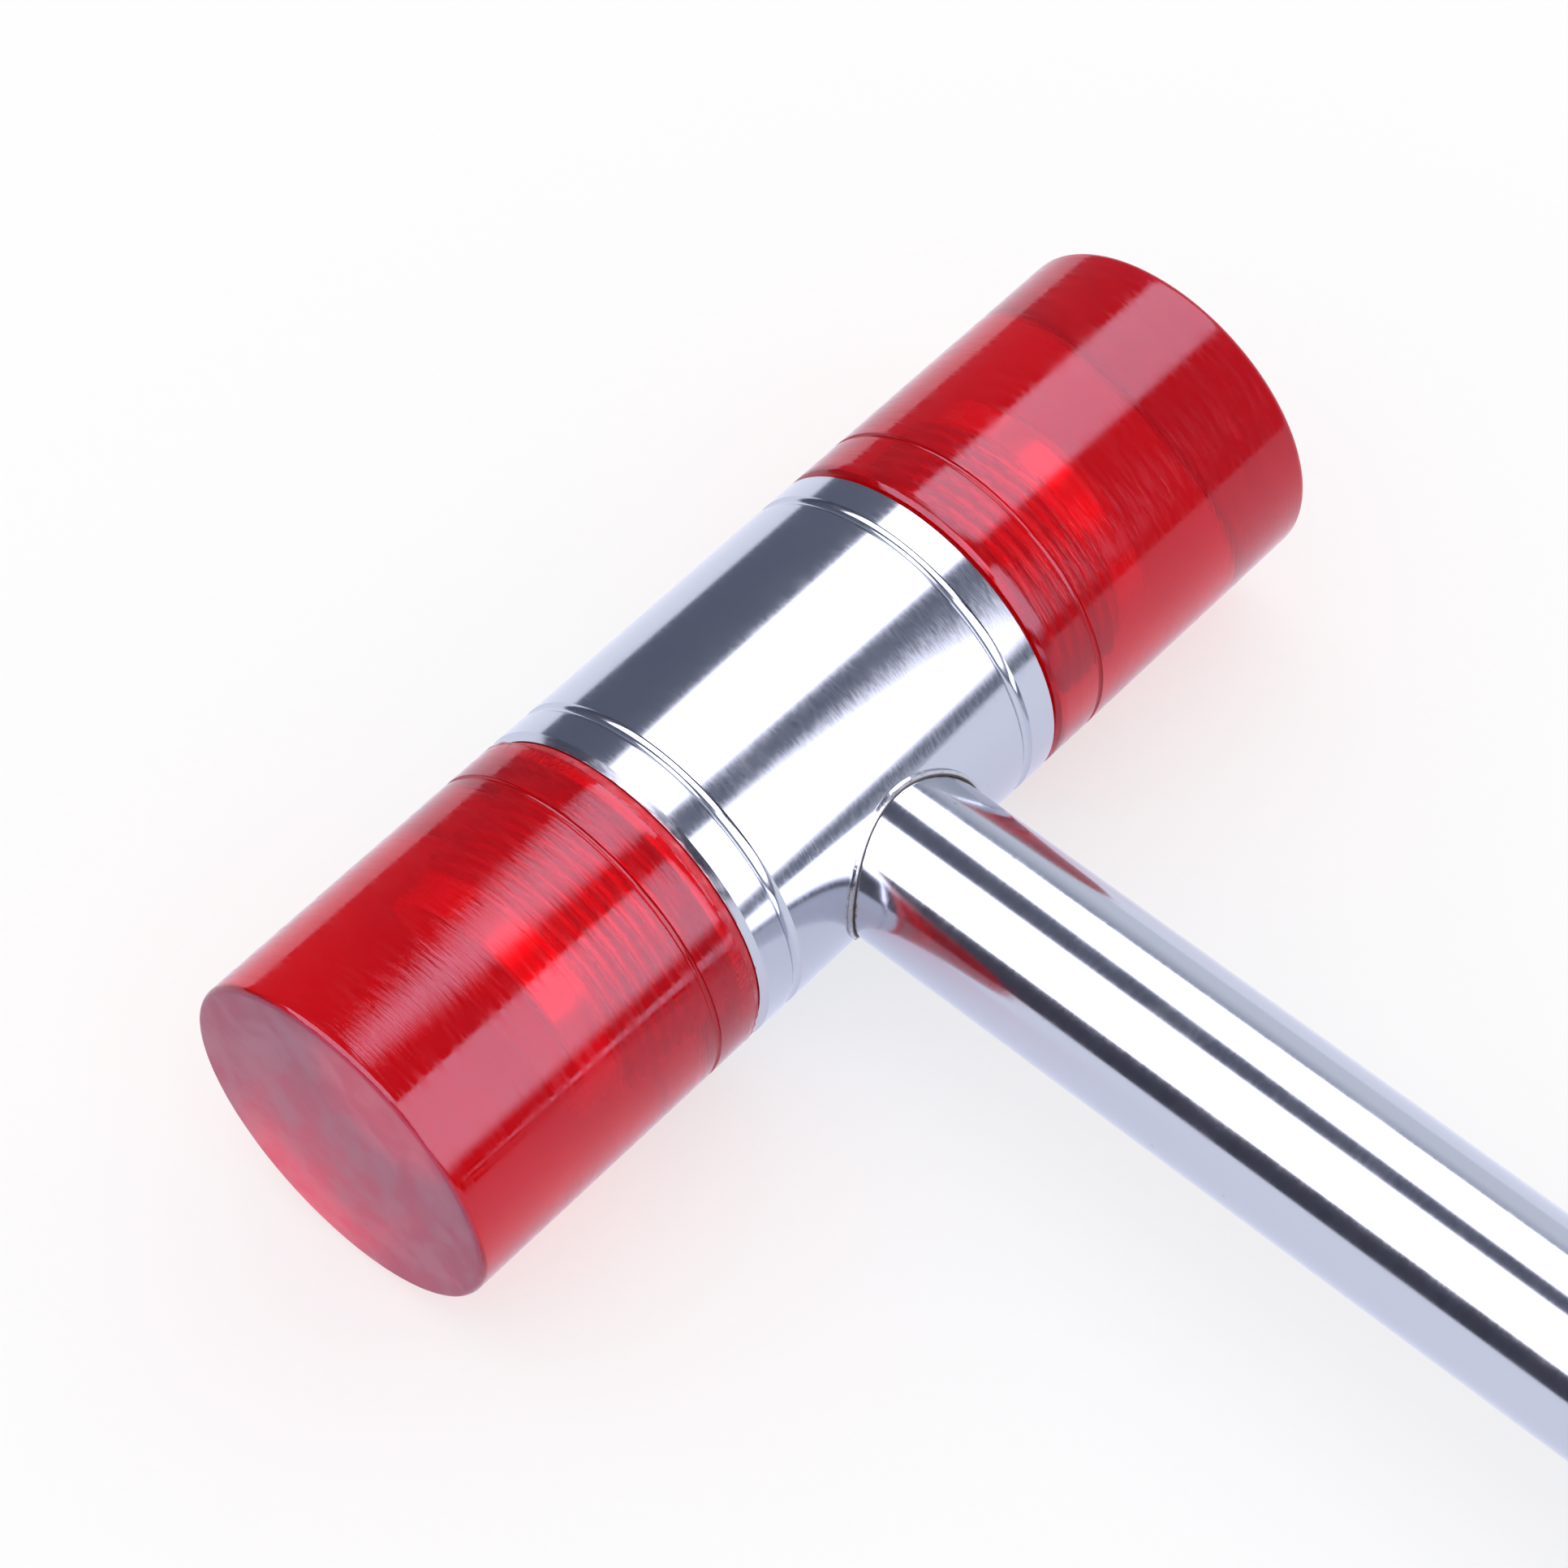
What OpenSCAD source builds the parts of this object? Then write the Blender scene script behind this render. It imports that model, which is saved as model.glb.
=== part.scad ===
// Soft face hammer: a plated steel head on a tubular handle, with a screwed-on plastic face at each end.
// It lies as on a bench: the head along X, the handle running to -Y, +Z up.
// Origin: middle of the footprint, on the surface that the head and the butt lie on.

/* [Head] */
// Diameter of the steel head and of the plastic faces, which are turned flush
head_d = 35; // [32:0.5:40]
// Length of the steel head between the two faces
head_len = 40; // [38:0.5:50]
// Chamfer on each end of the head
head_chamfer = 0.6; // [0.3:0.1:1.2]
// Distance of each ring groove from the end of the head
groove_inset = 4.3; // [3:0.1:6]
// Width of the ring grooves
groove_w = 1.3; // [0.8:0.1:2]
// Depth of the ring grooves
groove_depth = 0.35; // [0.2:0.05:0.6]
// Steel left between the end of the handle socket and the top of the head
socket_roof = 7.5; // [5:0.5:9]

/* [Faces] */
// Length of each plastic face
face_len = 36; // [30:0.5:45]
// Rounding of the striking edge
strike_edge_r = 0.7; // [0.3:0.1:1.5]
// Chamfer on the edge next to the head
seat_chamfer = 0.7; // [0.3:0.1:1.2]
// Distance of the ring line from the seat of the face
seam_inset = 6; // [4:0.1:9]
// Width of the ring line
seam_w = 0.7; // [0.4:0.1:1.2]
// Depth of the ring line
seam_depth = 0.3; // [0.2:0.05:0.6]
// Depth of the blind hole, from the end of the head
hole_depth = 18; // [16:0.5:22]
// Diameter of the plain pocket at the bottom of the blind hole
pocket_d = 17; // [16.8:0.1:17.4]

/* [Studs] */
// Outer diameter of the thread
thread_d = 18; // [17.6:0.1:20]
// Pitch of the thread
thread_pitch = 1.5; // [1.25:0.05:1.75]
// Length of the threaded end, out of the head
stud_reach = 13; // [11:0.5:14]
// Length of the plain shank, pressed into the head
shank_len = 9; // [6:0.5:9.5]
// Depth of the undercut behind the thread, below its root
undercut = 0.3; // [0.2:0.1:0.5]
// Step between the undercut and the shank
shank_step = 0.3; // [0.2:0.1:1]
// Step between the root of the thread and the plain nose of the stud
nose_step = 0.2; // [0.15:0.05:0.5]
// Chamfer on the end of the nose
nose_chamfer = 0.4; // [0.2:0.1:0.8]
// Gap between the nose and the bottom of the blind hole
nose_gap = 0.4; // [0.2:0.1:1]

/* [Washers] */
// Outer diameter of the seat washers
washer_d = 26; // [23:0.5:28]
// Thickness of the seat washers
washer_t = 1; // [0.6:0.1:1.5]

/* [Handle] */
// Outer diameter of the handle tube
tube_d = 17; // [14:0.5:18]
// Wall of the handle tube
tube_wall = 1.6; // [1:0.1:2.5]
// Overall length, from the top of the head to the butt of the grip
overall_len = 300; // [260:5:340]
// Width of the bead of braze around the tube
bead_w = 0.5; // [0.3:0.1:1]
// Height of the bead of braze over the head
bead_h = 0.3; // [0.2:0.1:0.6]

/* [Grip] */
// Length of the grip
grip_len = 118; // [100:2:140]
// Diameter of the grip where the fingers close round it
grip_d = 27; // [24:0.5:30]
// Diameter of the collar at the front of the grip
collar_d = 30; // [27:0.5:33]
// Length of the collar
collar_len = 8; // [6:0.5:12]
// Diameter of the flared butt
butt_d = 35; // [31:0.5:38]
// Length of the flared butt
butt_len = 12; // [10:0.5:16]
// Thickness of the closed end of the grip
butt_end = 5; // [3:0.5:8]
// Rounding of the collar and the butt
grip_round = 3; // [1.5:0.5:4]
// Spacing of the ring grooves along the grip
rib_pitch = 6; // [5:0.5:10]
// Width of each ring groove of the grip
rib_groove_w = 2.4; // [1.6:0.2:3.2]
// Depth of each ring groove of the grip
rib_groove_depth = 0.9; // [0.5:0.1:1.2]

/* [Fits] */
// Radial clearance of the brazed and pressed fits
press_gap = 0.02; // [0.01:0.01:0.05]
// Radial clearance between stud thread and face thread
thread_gap = 0.16; // [0.14:0.01:0.2]
// Clearance round the seat washers
washer_gap = 0.2; // [0.1:0.05:0.3]
// Gap between the seat of each face and the head
seat_gap = 0.1; // [0.05:0.05:0.2]

/* [Hidden] */
$fn = 96;

LEFT = -1;
RIGHT = 1;
CUT = 1;                // how far a cutting shape runs past what it cuts
THREAD_SIDES = 32;      // flats in one turn of a thread
POINTS_PER_PITCH = 4;   // root, crest, crest, root
relief_step = 0.4;      // how far the plain mouth of a face thread clears the crests
thread_margin = 0.3;    // plain stretch between a thread and the end that it stops short of

head_r = head_d / 2;
tube_r = tube_d / 2;
tube_bore_r = tube_r - tube_wall;
socket_past_axis = head_r - socket_roof;
rest_r = max(head_d, butt_d) / 2;

// Places in the frame
head_y = overall_len / 2 - head_r;
head_z = rest_r;
butt_y = head_y + head_r - overall_len;

// Thread profile: truncated 60 degree form
thread_depth = 0.6134 * thread_pitch;
crest_w = thread_pitch / 8;
root_w = thread_pitch / 4;
flank_w = (thread_pitch - crest_w - root_w) / 2;
thread_r = thread_d / 2;
thread_root_r = thread_r - thread_depth;
flat_share = cos(180 / THREAD_SIDES);   // a many-sided ring's inner radius over its corner radius
shank_r = (thread_root_r - undercut) * flat_share - shank_step;
stud_turns = floor((stud_reach - 2 * thread_margin) / thread_pitch) - 1;
nose_r = thread_root_r * flat_share - nose_step;
nose_end = hole_depth - nose_gap;

washer_bore_r = thread_r + washer_gap;
recess_r = washer_d / 2 + washer_gap;
recess_depth = washer_t + washer_gap / 4;
washer_x = washer_gap / 8;   // the washer floats in its recess

// The face thread starts whole pitches further in than the stud's, clear of the recess,
// and ends one pitch further in
skipped_turns = ceil(recess_depth / thread_pitch);
face_turns = stud_turns + 1 - skipped_turns;
relief_r = thread_r + thread_gap + relief_step;
pocket_x = 2 * thread_margin + (stud_turns + 2) * thread_pitch;

grip_bore_depth = grip_len - butt_end;
rib_first = collar_len + rib_pitch;
rib_last = grip_len - butt_len - rib_pitch;
rib_count = floor((rib_last - rib_first) / rib_pitch) + 1;

// Radius of the circle that cuts a groove of width w and depth d
function groove_circle_r(w, d) = w * w / (8 * d) + d / 2;

// Radius and height of profile point j of a thread whose groove is wider by gap all round
function thread_point_r(j, gap) =
    let (k = j % POINTS_PER_PITCH)
    gap + (k == 1 || k == 2 ? thread_r : thread_root_r);

function thread_point_z(j, gap) =
    let (k = j % POINTS_PER_PITCH)
    floor(j / POINTS_PER_PITCH) * thread_pitch
    + [-gap, flank_w - gap, flank_w + crest_w + gap, 2 * flank_w + crest_w + gap][k];

// Height of corner i, j of a ridge above its start
function ridge_z(i, j, gap) = thread_point_z(j, gap) + thread_pitch * i / THREAD_SIDES;

function ring_point(i, r, z) =
    let (a = 360 * i / THREAD_SIDES)
    [r * cos(a), r * sin(a), z];

// A threaded rod along +Z as one closed solid, with a plain end of radius low_r from z_low
// and another of radius high_r up to z_high. Between them a right-hand ridge starts at z_start
// and makes the given number of whole turns.
module threaded_rod(z_low, low_r, z_high, high_r, z_start, turns, r_gap = 0, z_gap = 0) {
    n = THREAD_SIDES;
    last = turns * POINTS_PER_PITCH;
    columns = last + POINTS_PER_PITCH + 1;
    // Corner i, j of the ridge: i counts round the rod, j along the profile
    ridge = [for (i = [0 : n - 1]) for (j = [0 : columns - 1])
        ring_point(i, thread_point_r(j, r_gap), z_start + ridge_z(i, j, z_gap))];
    // Each plain end runs from a flat ring to a shoulder that follows the ridge for one turn
    low_ring = [for (i = [0 : n - 1]) ring_point(i, low_r, z_low)];
    low_shoulder = [for (i = [0 : n]) ring_point(i, low_r, z_start + ridge_z(i, 0, z_gap))];
    high_ring = [for (i = [0 : n - 1]) ring_point(i, high_r, z_high)];
    high_shoulder = [for (i = [0 : n]) ring_point(i, high_r, z_start + ridge_z(i, last, z_gap))];
    low_0 = n * columns;
    low_shoulder_0 = low_0 + n;
    high_0 = low_shoulder_0 + n + 1;
    high_shoulder_0 = high_0 + n;
    // After a whole turn the ridge goes on one pitch further along
    function at(i, j) = i < n ? i * columns + j : j + POINTS_PER_PITCH;
    function low(i) = low_0 + i % n;
    function low_edge(i) = low_shoulder_0 + i;
    function high(i) = high_0 + i % n;
    function high_edge(i) = high_shoulder_0 + i;
    function fan(p) = [for (k = [1 : len(p) - 2]) [p[0], p[k], p[k + 1]]];
    function quad(a, b, c, d) = fan([a, b, c, d]);
    flanks = [for (i = [0 : n - 1]) for (j = [0 : last - 1])
        each quad(at(i, j), at(i, j + 1), at(i + 1, j + 1), at(i + 1, j))];
    low_cap = [for (i = [0 : n - 1]) low(i)];
    low_wall = [for (i = [0 : n - 2]) each quad(low(i), low_edge(i), low_edge(i + 1), low(i + 1))];
    low_wall_end = fan([low(n - 1), low_edge(n - 1), low_edge(n), low_edge(0), low(0)]);
    low_ledge = [for (i = [0 : n - 1])
        each quad(low_edge(i), at(i, 0), at(i + 1, 0), low_edge(i + 1))];
    low_step = [low_edge(0), low_edge(n), for (j = [POINTS_PER_PITCH : -1 : 0]) at(0, j)];
    high_cap = [for (i = [n - 1 : -1 : 0]) high(i)];
    high_wall = [for (i = [1 : n - 1])
        each quad(high_edge(i), high(i), high(i + 1), high_edge(i + 1))];
    high_wall_start = fan([high(1), high_edge(1), high_edge(0), high_edge(n), high(0)]);
    high_ledge = [for (i = [0 : n - 1])
        each quad(at(i, last), high_edge(i), high_edge(i + 1), at(i + 1, last))];
    high_step = [high_edge(n), high_edge(0), for (j = [0 : POINTS_PER_PITCH]) at(0, last + j)];
    polyhedron(concat(ridge, low_ring, low_shoulder, high_ring, high_shoulder),
               concat(flanks, low_wall, low_wall_end, low_ledge, high_wall, high_wall_start, high_ledge,
                      [low_cap, low_step, high_cap, high_step]));
}

// Children drawn along +Z from the centre of the head are turned to point out of one end of it
module out_of_head(side) {
    translate([0, head_y, head_z]) rotate([0, 90 * side, 0]) children();
}

// Children drawn along +Z from the end of the head are turned the same way
module out_of_end(side) {
    out_of_head(side) translate([0, 0, head_len / 2]) children();
}

// Children drawn along +Z from the axis of the head are turned to run down the handle
module down_handle(from = 0) {
    translate([0, head_y - from, head_z]) rotate([90, 0, 0]) children();
}

// A ring that cuts a round-bottomed groove into a cylinder of radius r, at height z
module groove_cutter(r, z, w, d) {
    circle_r = groove_circle_r(w, d);
    translate([0, 0, z]) rotate_extrude() translate([r - d + circle_r, 0]) circle(circle_r);
}

// Steel head: a turned bar with a chamfer and a ring groove at each end,
// a socket for the handle, and a bore in each end for a stud
module head_body() {
    half = head_len / 2;
    bar = [[0, -half], [head_r - head_chamfer, -half], [head_r, head_chamfer - half],
           [head_r, half - head_chamfer], [head_r - head_chamfer, half], [0, half]];
    color("gainsboro") difference() {
        out_of_head(RIGHT) difference() {
            rotate_extrude() polygon(bar);
            for (z = [groove_inset - half, half - groove_inset])
                groove_cutter(head_r, z, groove_w, groove_depth);
        }
        down_handle(-socket_past_axis)
            cylinder(r = tube_r + press_gap, h = socket_past_axis + head_r + CUT);
        for (side = [LEFT, RIGHT])
            out_of_end(side) translate([0, 0, -shank_len - press_gap])
                cylinder(r = shank_r + press_gap, h = shank_len + press_gap + CUT);
    }
}

// Threaded stud: a plain shank in the head, a right-hand thread out of it, and a plain nose past the thread
module stud(side) {
    nose_start = stud_reach - thread_margin;
    color("silver") out_of_end(side) union() {
        threaded_rod(0, thread_root_r - undercut, stud_reach, nose_r - nose_step, thread_margin, stud_turns);
        translate([0, 0, -shank_len]) cylinder(r = shank_r, h = shank_len + thread_margin);
        rotate_extrude() polygon([[0, nose_start], [nose_r, nose_start], [nose_r, nose_end - nose_chamfer],
                                  [nose_r - nose_chamfer, nose_end], [0, nose_end]]);
    }
}

// Seat washer: lies in a recess of the face and keeps the face from grinding on the head
module washer(side) {
    color("darkgray") out_of_end(side) translate([0, 0, washer_x]) difference() {
        cylinder(d = washer_d, h = washer_t);
        translate([0, 0, -CUT]) cylinder(r = washer_bore_r, h = washer_t + 2 * CUT);
    }
}

// Outline of a plastic face in its half plane, with the striking edge left square
module face_outline() {
    polygon([[0, seat_gap], [head_r - seat_chamfer, seat_gap], [head_r, seat_gap + seat_chamfer],
             [head_r, face_len - strike_edge_r], [head_r - strike_edge_r, face_len - strike_edge_r],
             [head_r - strike_edge_r, face_len], [0, face_len]]);
    translate([head_r - strike_edge_r, face_len - strike_edge_r]) circle(strike_edge_r);
}

// Plastic face: a solid red cap with a threaded blind hole, a washer recess and a ring line
module face(side) {
    color([0.75, 0.02, 0.06, 0.8]) out_of_end(side) difference() {
        rotate_extrude() face_outline();
        groove_cutter(head_r, seam_inset, seam_w, seam_depth);
        translate([0, 0, -CUT]) cylinder(r = recess_r, h = CUT + recess_depth);
        threaded_rod(-CUT, relief_r, pocket_x + CUT, thread_root_r,
                     thread_margin + skipped_turns * thread_pitch, face_turns,
                     thread_gap, thread_gap / 2);
        translate([0, 0, pocket_x]) cylinder(d = pocket_d, h = hole_depth - pocket_x);
    }
}

// Handle: a plated steel tube, brazed into the socket of the head
module handle_tube() {
    length = head_y + socket_past_axis - butt_y - butt_end;
    color("gainsboro") down_handle(-socket_past_axis + press_gap) difference() {
        cylinder(r = tube_r, h = length - 2 * press_gap);
        translate([0, 0, -CUT]) cylinder(r = tube_bore_r, h = length + 2 * CUT);
    }
}

// Bead of braze round the tube, on the round of the head
module handle_braze() {
    color("rosybrown") intersection() {
        down_handle() difference() {
            cylinder(r = tube_r + bead_w, h = head_d);
            translate([0, 0, -CUT]) cylinder(r = tube_r + press_gap, h = head_d + 2 * CUT);
        }
        out_of_head(RIGHT) difference() {
            cylinder(r = head_r + bead_h, h = 2 * tube_d, center = true);
            cylinder(r = head_r + press_gap, h = 3 * tube_d, center = true);
        }
    }
}

// A disc along +Z from z, with both edges rounded
module rounded_disc(d, z, h, r) {
    translate([0, 0, z]) rotate_extrude() {
        square([d / 2 - r, h]);
        translate([0, r]) square([d / 2, h - 2 * r]);
        for (y = [r, h - r])
            translate([d / 2 - r, y]) circle(r);
    }
}

// Grip: a moulded sleeve with a collar, ring grooves and a flared, closed butt
module grip() {
    color([0.06, 0.06, 0.065]) down_handle(head_y - butt_y - grip_len) difference() {
        union() {
            rounded_disc(collar_d, 0, collar_len, grip_round);
            rounded_disc(butt_d, grip_len - butt_len, butt_len, grip_round);
            translate([0, 0, collar_len / 2])
                cylinder(d = grip_d, h = grip_len - collar_len / 2 - butt_len / 2);
        }
        for (k = [0 : rib_count - 1])
            groove_cutter(grip_d / 2, rib_first + k * rib_pitch, rib_groove_w, rib_groove_depth);
        translate([0, 0, -CUT]) cylinder(r = tube_r + press_gap, h = CUT + grip_bore_depth);
    }
}

head_body();
stud(LEFT);  // left_stud
stud(RIGHT);  // right_stud
washer(LEFT);  // left_washer
washer(RIGHT);  // right_washer
face(LEFT);  // left_face
face(RIGHT);  // right_face
handle_tube();
handle_braze();
grip();
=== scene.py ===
"""Looks of the soft face hammer: plated head and tube, clear red threaded faces, ribbed grip."""

import math

import bmesh
import bpy
from mathutils import Matrix, Vector


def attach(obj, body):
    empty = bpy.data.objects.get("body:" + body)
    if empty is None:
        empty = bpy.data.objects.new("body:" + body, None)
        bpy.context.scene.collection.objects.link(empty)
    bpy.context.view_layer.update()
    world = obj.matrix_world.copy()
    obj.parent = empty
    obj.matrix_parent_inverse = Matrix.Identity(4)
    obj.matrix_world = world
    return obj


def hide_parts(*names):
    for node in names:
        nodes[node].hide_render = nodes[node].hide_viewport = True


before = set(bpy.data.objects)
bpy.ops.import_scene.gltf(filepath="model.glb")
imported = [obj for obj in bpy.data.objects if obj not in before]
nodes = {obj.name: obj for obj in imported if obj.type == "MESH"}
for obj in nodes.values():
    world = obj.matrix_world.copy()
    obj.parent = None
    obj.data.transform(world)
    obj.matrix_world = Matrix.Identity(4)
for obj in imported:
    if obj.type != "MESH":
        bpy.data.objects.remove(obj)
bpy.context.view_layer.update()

MM = 0.001
LEFT, RIGHT = -1, 1
UP, DOWN = 1, -1

# Sizes in millimetres, given in the part's source or worked out from it
HEAD_R = 17.498   # a hair under the source's 17.5, to stay inside its facets
HEAD_LEN = 40.0
FACE_LEN = 36.0
STRIKE_EDGE_R = 0.7
SEAT_CHAMFER = {LEFT: 0.7, RIGHT: 0.35}   # both 0.7 in the source; the far face sits tighter
SEAT_GAP = 0.1
SEAM_INSET = 6.0
SEAM_W = 0.7
SEAM_DEPTH = 0.3
HOLE_DEPTH = 18.0
POCKET_R = 8.5
POCKET_START = 14.1
THREAD_R = 9.0
THREAD_PITCH = 1.5
THREAD_DEPTH = 0.6134 * THREAD_PITCH
THREAD_MARGIN = 0.3   # plain stretch between a thread and the end that it stops short of
THREAD_GAP = 0.16
THREAD_REACH = 13.0
NOSE_R = 7.84
NOSE_START = 12.7
NOSE_END = 17.6
NOSE_CHAMFER = 0.4
SHANK_LEN = 9.0
SHANK_STEP = 0.34
UNDERCUT = 0.3
RECESS_R = 13.2
RECESS_DEPTH = 1.05
RELIEF_R = 9.56
TUBE_R = 8.5
GRIP_LEN = 118.0
GRIP_R = 13.5
COLLAR_R = 15.0
COLLAR_LEN = 8.0
BUTT_R = 17.5
BUTT_LEN = 12.0
BUTT_END = 5.0
GRIP_ROUND = 3.0
RIB_PITCH = 6.0
RIB_GROOVE_W = 2.4
RIB_GROOVE_DEPTH = 0.9

# Small forms of this scene's own pieces, in millimetres
EASE = 0.1            # step that breaks an edge or parts two points
STRIKE_LEAD = 0.4     # from the rounded striking edge to the first ring of the plain side
SEAT_LEAD = 1.2       # from the last ring of the plain side to the seat's chamfer
LIP_IN, LIP_DOWN = 0.04, 0.02   # the lower ring of the worn lip
SEAT_WEAR = {LEFT: 2.0, RIGHT: 0.2}
POCKET_EDGE_R = 0.4
FACE_THREAD_LEAD = 1.0
SHANK_CHAMFER = 0.5
UNDERCUT_LEN = 0.8
NECK_STEP = 0.2       # the neck between a stud's thread and its nose
NECK_LEN = 0.4
BORE_GAP = 0.02
BORE_CHAMFER = 0.6
FILLET_R = 0.6        # where the grip meets its collar and its butt
FILLET_AT = 0.55
FILLET_END = 0.8
PARTING_RIDGE = 0.12
BUTT_RING = ((4.2, 0.0), (4.6, 0.5), (5.6, 0.5), (6.0, 0.0))   # in from the edge, and depth
VENT_R = 2.5
VENT_MOUTH_R = 3.2
VENT_CHAMFER = 0.6

# The turning of profiles
THREAD_STEP = 0.075      # millimetres between the points along a thread
THREAD_FLANK = 0.3125    # shares of the pitch
THREAD_CREST = 0.125
RIDGE_SPREAD = 0.035     # sine of the angle over which a parting ridge fades
EDGE_WAVES = 14.0        # how finely a worn edge wanders
EDGE_MIDDLE = 0.4        # level of the pattern at which the edge stays in place
SEAM_MERGE = 2e-6        # metres
SHARP_ANGLE = 35.0       # degrees
PROFILE_MARKS = ("thread", "ridge", "worn")

# Places in the shared frame, and the turns that lay an axis along X
HEAD_CENTRE = Vector((0.0, 132.5, 17.5)) * MM
GRIP_FRONT = Vector((0.0, -32.0, 17.5)) * MM
HEAD_AXIS = (0.0, 0.0, 0.0)
HANDLE_AXIS = (0.0, 0.0, math.radians(90))

# Where a finish begins and is full, in millimetres past the head's end
FROST_FADE = (FACE_LEN - 0.35, FACE_LEN - 0.1)
POCKET_FADE = (THREAD_REACH, POCKET_START)
CHIP_FADE = (1.4, 1.0)
WASHER_FADE = (RECESS_DEPTH + 0.1, RECESS_DEPTH)
NOSE_FADE = (NOSE_START - 0.1, NOSE_START)

# The same, in millimetres from an axis
INSIDE_FADE = (16.6, 16.2)
# Where the painted shade round the tube begins and is full
GAP_SHADE_FADE = (TUBE_R + 0.3, TUBE_R + 0.12)
RIB_FADE = (GRIP_R - 0.5, GRIP_R)

# Colours of the finishes
PLATING = (0.53, 0.545, 0.6, 1.0)
PLATING_SPECK = (0.43, 0.44, 0.48, 1.0)
PLASTIC = (1.0, 0.005, 0.013, 1.0)
PLASTIC_RUBBED = (0.98, 0.004, 0.011, 1.0)
PLASTIC_FROSTED = (0.98, 0.14, 0.42, 1.0)
PLASTIC_GLOSS = (0.88, 0.88, 1.15, 1.0)
PLASTIC_DEPTH = (0.785, 0.02, 0.04, 1.0)
STEEL = (0.6, 0.59, 0.58, 1.0)
STEEL_RUBBED = (0.5, 0.49, 0.48, 1.0)
STEEL_BRIGHT = (0.8, 0.79, 0.78, 1.0)
BRAZE = (0.5, 0.51, 0.55, 1.0)
BRAZE_STAIN = (0.3, 0.2, 0.12, 1.0)
# Painted shade: the dark of the narrow gap where the bead meets the tube
BRAZE_GAP_SHADE = (0.05, 0.04, 0.035, 1.0)
VINYL = (0.022, 0.022, 0.024, 1.0)
VINYL_RUBBED = (0.045, 0.044, 0.044, 1.0)
VINYL_SPECK = (0.09, 0.088, 0.085, 1.0)

# Stage: light, and lengths in metres. Panels are measured from the middle of the head
WHITE = (1.0, 1.0, 1.0, 1.0)
FLOOR_PAINT = (0.93, 0.93, 0.94, 1.0)
FLOOR_MIRRORED = (0.95, 1.0, 1.22, 1.0)
FLOOR_MIRROR_LIFT = 0.15
FLOOR_GLOW = (("Is Camera Ray", 0.62), ("Is Glossy Ray", 0.55), ("Is Transmission Ray", 0.4))
FLOOR_EDGES = (-0.8, 0.8, -0.9, 0.56)
FLOOR_Z = -0.0003
PANEL_LIGHT = 4.8
PANEL_TONE = (1.0, 0.99, 1.1, 1.0)
PANEL_ABOVE = 0.5
PANEL_FRONT = -0.4
ROOM_TONES = (   # from left (0) to right (1), the two ends first
    (0.05, (0.06, 0.06, 0.09, 1.0)),
    (0.95, (0.85, 0.9, 1.0, 1.0)),
    (0.71, (0.135, 0.15, 0.215, 1.0)),
    (0.87, (0.28, 0.31, 0.4, 1.0)),
)
SKY_LOW = (0.72, 0.73, 0.76, 1.0)
SKY_HIGH = (1.12, 1.12, 1.12, 1.0)
SKY_RISE = (-0.3, 0.9)

# Camera: what the photograph's outlines fit, placed in millimetres from the middle of the head
CAMERA_SENSOR = 36.0
CAMERA_LENS = 119.92
CAMERA_CLIP = 0.01
CAMERA_BACK = (-0.4207, -0.4000, 0.8142)
CAMERA_ACROSS = (0.6725, -0.7399, -0.0161)
CAMERA_PLACE = (-201.99, -193.61, 387.91)


# Node helpers


def connect(tree, socket, value):
    """Feed a socket from another one, or set it to a plain value."""
    if isinstance(value, bpy.types.NodeSocket):
        tree.links.new(value, socket)
    else:
        socket.default_value = value


def add(tree, kind, inputs=None, **settings):
    """A new node. Each input is a value or the socket that feeds it."""
    n = tree.nodes.new(kind)
    for key, value in settings.items():
        setattr(n, key, value)
    for key, value in (inputs or {}).items():
        connect(tree, n.inputs[key], value)
    return n


def calc(tree, operation, *values, clamp=False):
    """A Math node's result."""
    inputs = dict(enumerate(values))
    return add(tree, "ShaderNodeMath", inputs, operation=operation, use_clamp=clamp).outputs[0]


def ramp(tree, value, low, high, to_low=0.0, to_high=1.0):
    """The value brought smoothly from one range to another, held at its ends."""
    inputs = {"Value": value, "From Min": low, "From Max": high}
    inputs.update({"To Min": to_low, "To Max": to_high})
    n = add(tree, "ShaderNodeMapRange", inputs, interpolation_type="SMOOTHSTEP", clamp=True)
    return n.outputs["Result"]


def between(tree, value, low, high, soft):
    """1 between two bounds and 0 past them, with soft edges."""
    rise = ramp(tree, value, low - soft, low + soft)
    return calc(tree, "MULTIPLY", rise, ramp(tree, value, high + soft, high - soft))


def blend_colour(tree, factor, a, b):
    """One colour mixed into another."""
    n = add(tree, "ShaderNodeMix", data_type="RGBA")
    for key, value in ((0, factor), (6, a), (7, b)):
        connect(tree, n.inputs[key], value)
    return n.outputs[2]


def axes(tree, vector):
    """The X, Y and Z of a vector."""
    return add(tree, "ShaderNodeSeparateXYZ", {"Vector": vector}).outputs


def off_axis(tree, a, b):
    """Distance from an axis, by the two coordinates across it."""
    squares = [calc(tree, "POWER", v, 2.0) for v in (a, b)]
    return calc(tree, "SQRT", calc(tree, "ADD", *squares))


def noise(tree, vector, scale, detail, roughness=0.5):
    """A soft random pattern, from 0 to 1."""
    inputs = {"Vector": vector, "Scale": scale, "Detail": detail, "Roughness": roughness}
    return add(tree, "ShaderNodeTexNoise", inputs).outputs[0]


def sockets(tree, *items):
    """Named sockets of a group: (name, direction, kind, default)."""
    for name, direction, kind, default in items:
        s = tree.interface.new_socket(name, in_out=direction, socket_type=kind)
        if default is not None:
            s.default_value = default


def socket_name(keyword):
    """A socket's name from a keyword, such as Edge Wear from edge_wear."""
    return keyword.replace("_", " ").title()


# Turned pieces: a profile swept round an axis, with a thread where the profile asks for one


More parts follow.
